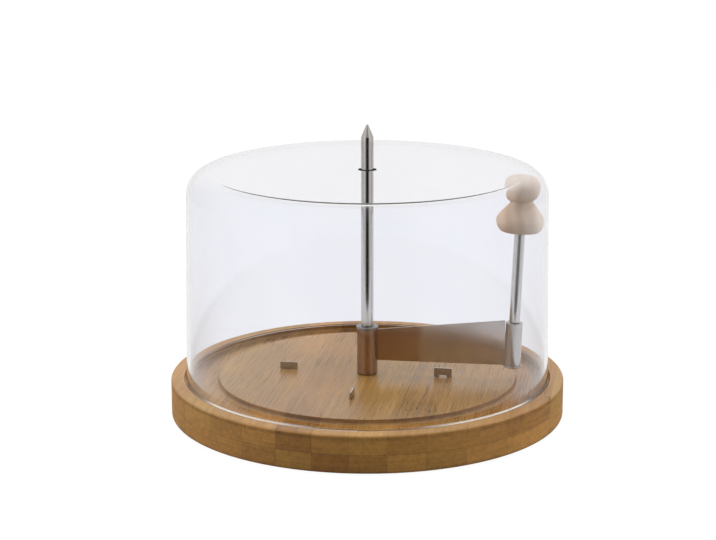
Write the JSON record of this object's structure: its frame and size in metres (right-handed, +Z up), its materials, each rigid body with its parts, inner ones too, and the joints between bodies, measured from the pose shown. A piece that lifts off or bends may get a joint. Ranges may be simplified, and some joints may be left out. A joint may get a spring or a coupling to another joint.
{
  "type": "cheese curler",
  "caption": "Hand-turned cheese curler: round bamboo board with a steel spindle and scraper blade with a wooden knob, under a clear dome standing in the board's groove.",
  "frame": {"origin": "centre of the board's underside, on the spindle's axis", "axes": "+Z up along the spindle; -Y is the front, towards the picture's camera; +X is the picture's right, where the blade points at rest, 8 degrees towards the front"},
  "size_m": [0.22, 0.22, 0.1625],
  "materials": {
    "bamboo": "oiled bamboo strips, satin",
    "pale_wood": "turned pale wood, bare",
    "polished_steel": "polished stainless steel",
    "satin_steel": "satin stainless steel",
    "bush_steel": "pale turned steel",
    "zinc_steel": "zinc-plated steel",
    "clear_plastic": "clear moulded plastic, glossy"
  },
  "bodies": {
    "base": {"base_board": "bamboo", "spindle": "polished_steel", "spindle_washer": "zinc_steel", "spindle_screw": "zinc_steel", "tooth_right": "satin_steel", "tooth_back": "satin_steel", "tooth_left": "satin_steel", "tooth_front": "satin_steel"},
    "hub": {"hub_bush_upper": "bush_steel", "hub_bush_lower": "bush_steel"},
    "blade_carriage": {"hub_tube": "satin_steel", "blade": "satin_steel", "handle_socket": "satin_steel"},
    "handle": {"handle_rod": "polished_steel", "knob": "pale_wood"},
    "dome": {"dome": "clear_plastic"}
  },
  "joints": [
    {"name": "blade_lift", "type": "slide", "parent": "base", "child": "hub", "axis": [0, 0, 1], "range_m": [0, 0.145]},
    {"name": "blade_turn", "type": "hinge", "parent": "hub", "child": "blade_carriage", "pos_m": [0, 0, 0.034], "axis": [0, 0, 1], "continuous": true},
    {"name": "handle_spin", "type": "hinge", "parent": "blade_carriage", "child": "handle", "pos_m": [0.08046, -0.01131, 0.0281], "axis": [0.038, -0.0053, 0.9993], "continuous": true},
    {"name": "dome_lift", "type": "slide", "parent": "hub", "child": "dome", "axis": [0, 0, 1], "range_m": [0, 0.15]}
  ]
}
